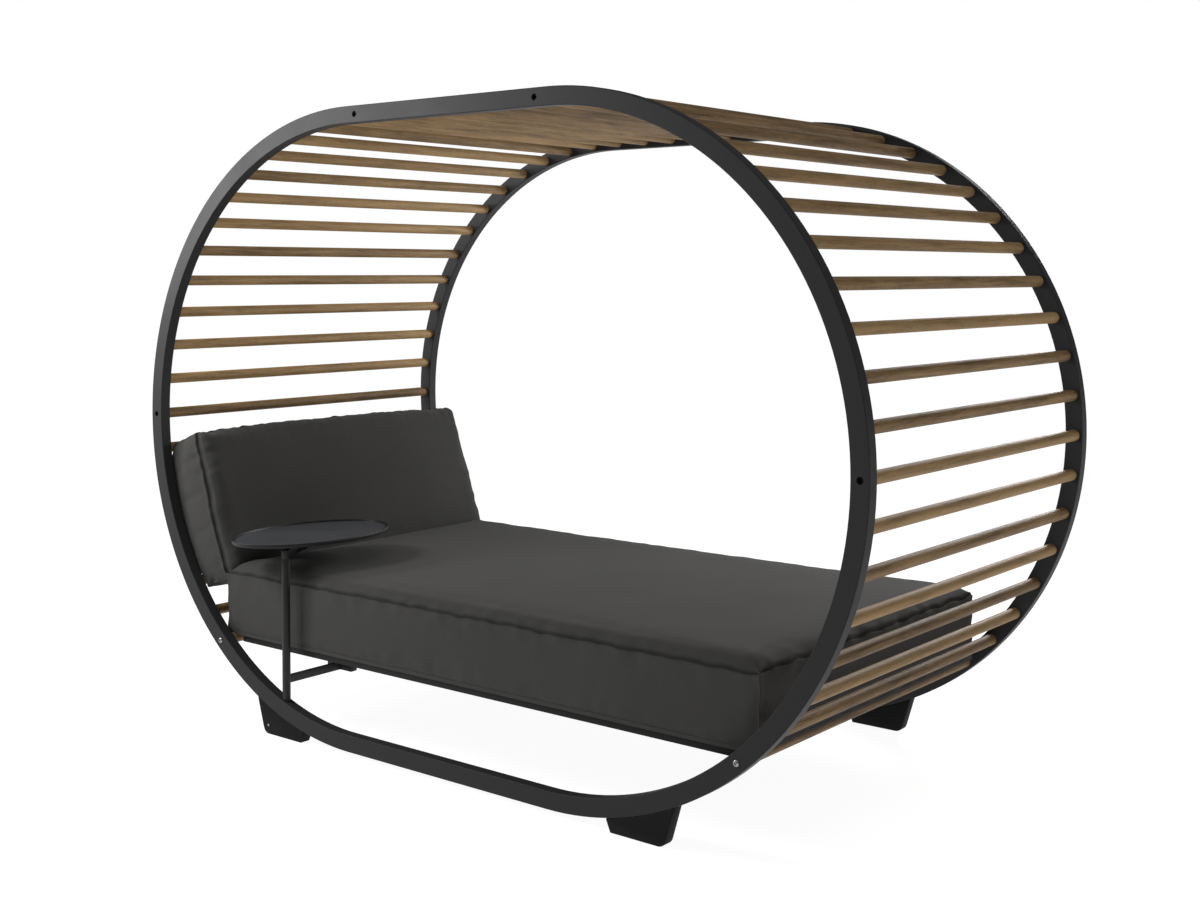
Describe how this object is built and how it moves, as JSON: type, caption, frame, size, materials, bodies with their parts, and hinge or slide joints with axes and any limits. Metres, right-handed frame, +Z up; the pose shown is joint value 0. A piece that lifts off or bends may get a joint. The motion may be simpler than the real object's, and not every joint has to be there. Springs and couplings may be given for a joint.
{
  "type": "outdoor daybed with canopy",
  "caption": "Outdoor daybed inside a pergola of round wooden slats on oblong metal hoops, with a mattress, a back cushion and a swivelling oval side table.",
  "frame": {"origin": "on the floor, under the middle of the whole object's box, so the hoops' own middle lies 32 mm behind it", "axes": "+X from the head end with the back cushion to the foot end, -Y to the side with the table, +Z up"},
  "size_m": [2.66, 1.342, 1.9065],
  "materials": {
    "hoop_metal": "satin anthracite powder coat with a fine texture",
    "slat_wood": "oiled hardwood, grain along the rod",
    "foot_plastic": "matte black moulded plastic",
    "bed_metal": "satin black powder coat",
    "deck_board": "dark coated board",
    "cushion_cloth": "plain woven charcoal outdoor cloth",
    "table_metal": "satin anthracite powder coat"
  },
  "bodies": {
    "root": {"hoop_front": "hoop_metal", "hoop_rear": "hoop_metal", "slat_01": "slat_wood", "slat_02": "slat_wood", "slat_03": "slat_wood", "slat_04": "slat_wood", "slat_05": "slat_wood", "slat_06": "slat_wood", "slat_07": "slat_wood", "slat_08": "slat_wood", "slat_09": "slat_wood", "slat_10": "slat_wood", "slat_11": "slat_wood", "slat_12": "slat_wood", "slat_13": "slat_wood", "slat_14": "slat_wood", "slat_15": "slat_wood", "slat_16": "slat_wood", "slat_17": "slat_wood", "slat_18": "slat_wood", "slat_19": "slat_wood", "slat_20": "slat_wood", "slat_21": "slat_wood", "slat_22": "slat_wood", "slat_23": "slat_wood", "slat_24": "slat_wood", "slat_25": "slat_wood", "slat_26": "slat_wood", "slat_27": "slat_wood", "slat_28": "slat_wood", "slat_29": "slat_wood", "slat_30": "slat_wood", "slat_31": "slat_wood", "slat_32": "slat_wood", "slat_33": "slat_wood", "slat_34": "slat_wood", "slat_35": "slat_wood", "slat_36": "slat_wood", "slat_37": "slat_wood", "slat_38": "slat_wood", "slat_39": "slat_wood", "slat_40": "slat_wood", "slat_41": "slat_wood", "slat_42": "slat_wood", "slat_43": "slat_wood", "slat_44": "slat_wood", "slat_45": "slat_wood", "slat_46": "slat_wood", "slat_47": "slat_wood", "foot_front_head": "foot_plastic", "foot_front_tail": "foot_plastic", "foot_rear_head": "foot_plastic", "foot_rear_tail": "foot_plastic", "bed_frame": "bed_metal", "bed_deck": "deck_board", "mattress": "cushion_cloth", "back_cushion": "cushion_cloth", "table_stand": "table_metal"},
    "table_swing": {"table_swivel_arm": "table_metal", "table_tray": "table_metal"}
  },
  "joints": [
    {"name": "table_swivel", "type": "hinge", "parent": "root", "child": "table_swing", "pos_m": [-0.68, -0.5895, 0.5], "axis": [0, 0, 1], "range_deg": [-250, 10]}
  ]
}
